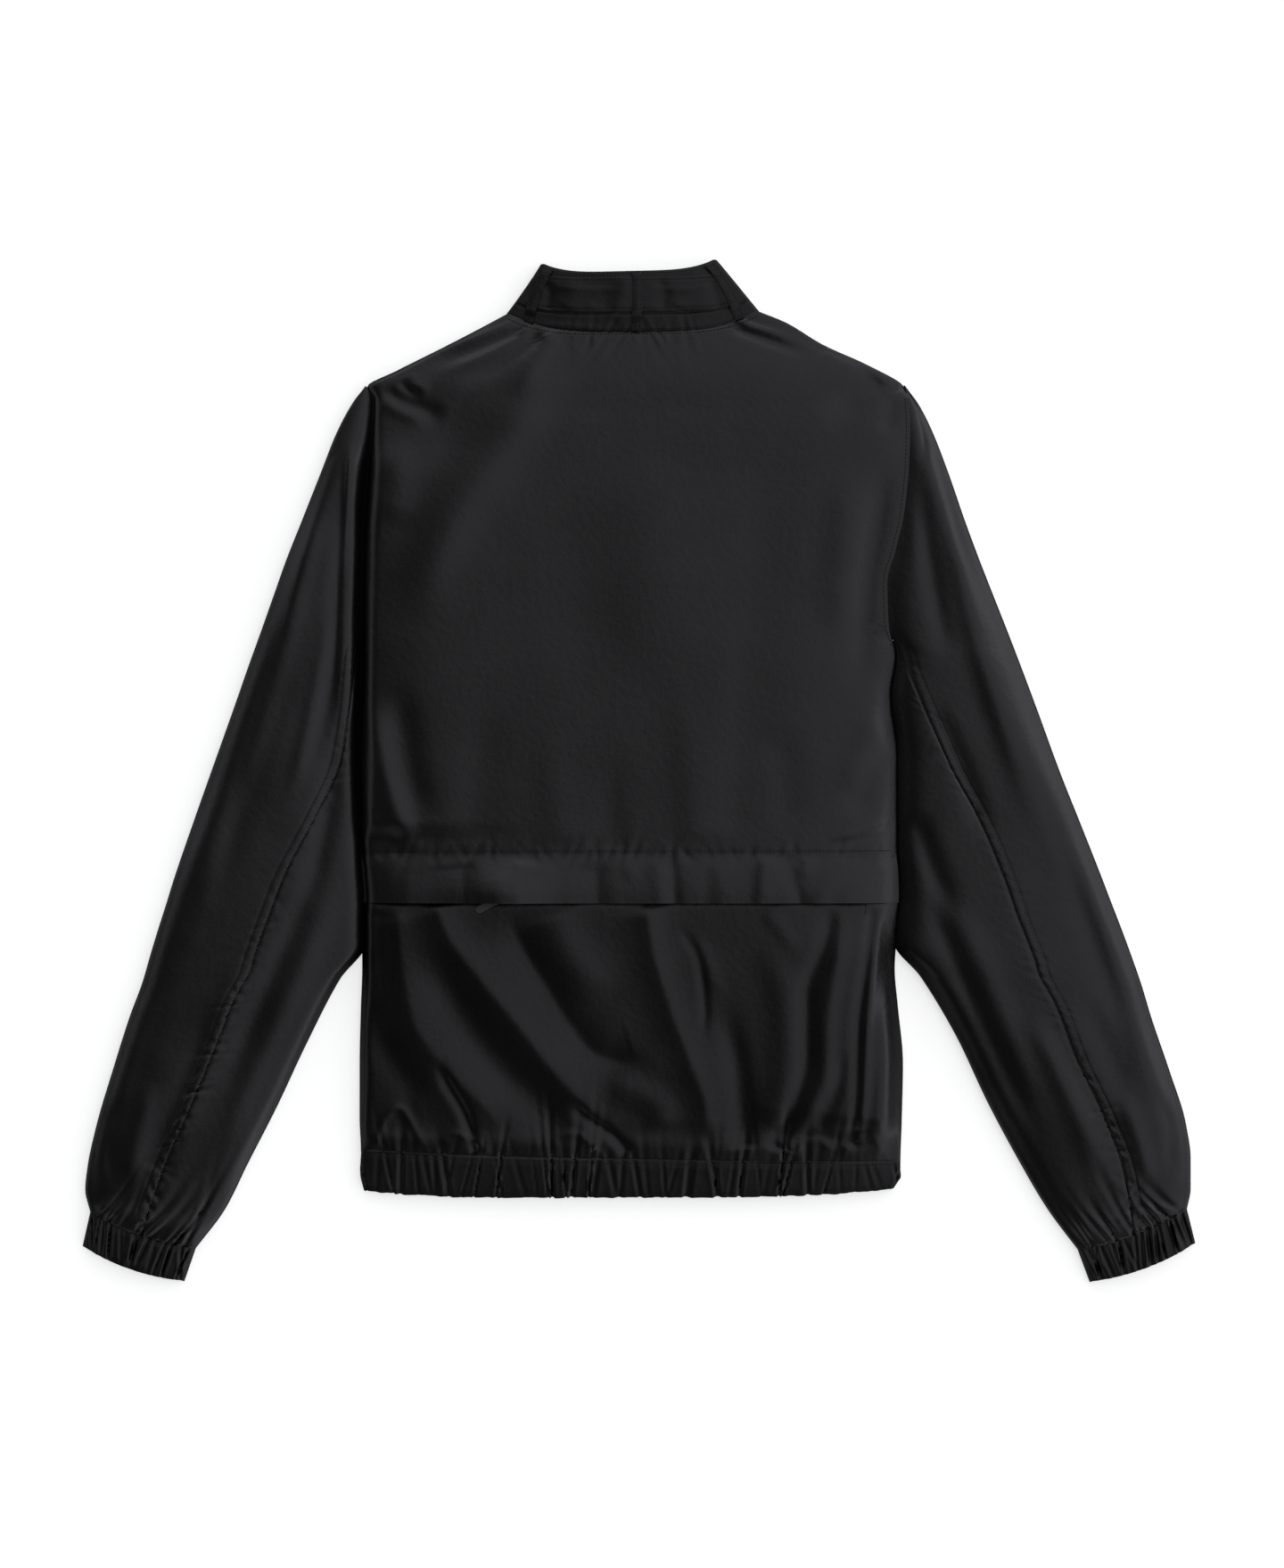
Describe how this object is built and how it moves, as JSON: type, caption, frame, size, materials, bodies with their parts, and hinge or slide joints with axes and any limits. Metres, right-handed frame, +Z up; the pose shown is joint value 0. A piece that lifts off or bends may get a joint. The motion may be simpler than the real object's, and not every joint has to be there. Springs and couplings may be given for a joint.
{
  "type": "windbreaker jacket",
  "caption": "Lightweight zip-front windbreaker laid flat with its back uppermost: funnel collar with a strap in loops, storm flap over a back pocket zip, elastic cuffs and hem.",
  "frame": {"origin": "middle of the jacket's outline, on the surface it lies on", "axes": "+X towards the wearer's right sleeve, +Y from hem to collar, +Z up off the surface, out of the back"},
  "size_m": [0.8755, 0.8046, 0.036],
  "materials": {
    "shell": "black lightweight nylon with a satin sheen",
    "zip_tape": "black woven zip tape",
    "zip_chain": "black nylon coil",
    "zip_metal": "black enamelled metal"
  },
  "bodies": {
    "jacket": {"back_upper": "shell", "back_lower": "shell", "back_flap": "shell", "front_left": "shell", "front_right": "shell", "sleeve_left_top": "shell", "sleeve_left_under": "shell", "sleeve_right_top": "shell", "sleeve_right_under": "shell", "cuff_left": "shell", "cuff_right": "shell", "hem_band": "shell", "collar": "shell", "collar_strap": "shell", "collar_loop_left": "shell", "collar_loop_centre": "shell", "collar_loop_right": "shell", "pocket_zip_tape": "zip_tape", "front_zip_tape": "zip_tape", "pocket_zip_chain": "zip_chain", "front_zip_chain": "zip_chain", "pocket_zip_slider": "zip_metal", "front_zip_slider": "zip_metal"},
    "pocket_pull": {"pocket_zip_pull": "zip_metal"},
    "front_pull": {"front_zip_pull": "zip_metal"}
  },
  "joints": [
    {"name": "pocket_pull_swing", "type": "hinge", "parent": "jacket", "child": "pocket_pull", "pos_m": [-0.108, -0.099, 0.02717], "axis": [-0.4695, 0.8829, 0], "range_deg": [0, 22]},
    {"name": "front_pull_swing", "type": "hinge", "parent": "jacket", "child": "front_pull", "pos_m": [-0.007, 0.325, 0.00333], "axis": [1, 0, 0], "range_deg": [0, 150]}
  ]
}
